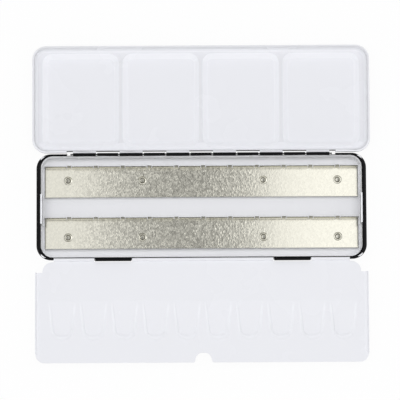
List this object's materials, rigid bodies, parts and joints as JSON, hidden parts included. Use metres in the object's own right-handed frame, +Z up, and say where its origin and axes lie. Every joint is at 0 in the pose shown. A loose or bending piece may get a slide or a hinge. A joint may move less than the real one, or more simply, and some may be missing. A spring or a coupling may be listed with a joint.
{
  "type": "watercolour tin",
  "caption": "Flat enamelled metal watercolour tin lying open: lid with mixing wells, folding mixing flap, and a lift-out insert with sprung rails for half pans.",
  "frame": {"origin": "middle of the underside of the body tray", "axes": "+Z up, +X to the right along the hinges, +Y from the flap towards the lid"},
  "size_m": [0.2164, 0.2046, 0.0144],
  "materials": {
    "black_enamel": "gloss",
    "white_enamel": "gloss",
    "tinplate": "satin",
    "steel_wire": "satin"
  },
  "bodies": {
    "tray": {"body_tray": "black_enamel", "lid_hinge_pin": "steel_wire", "flap_hinge_pin": "steel_wire"},
    "lid": {"lid": "black_enamel"},
    "flap": {"palette_flap": "white_enamel"},
    "insert": {"insert_plate": "white_enamel", "back_rail": "tinplate", "front_rail": "tinplate", "rail_eyelets": "tinplate"}
  },
  "joints": [
    {"name": "lid_hinge", "type": "hinge", "parent": "tray", "child": "lid", "pos_m": [0, 0.0336, 0.0134], "axis": [1, 0, 0], "range_deg": [0, 180]},
    {"name": "flap_hinge", "type": "hinge", "parent": "tray", "child": "flap", "pos_m": [0, -0.0341, 0.0126], "axis": [-1, 0, 0], "range_deg": [0, 180]},
    {"name": "insert_lift", "type": "slide", "parent": "tray", "child": "insert", "axis": [0, 0, 1], "range_m": [0, 0.032]}
  ]
}
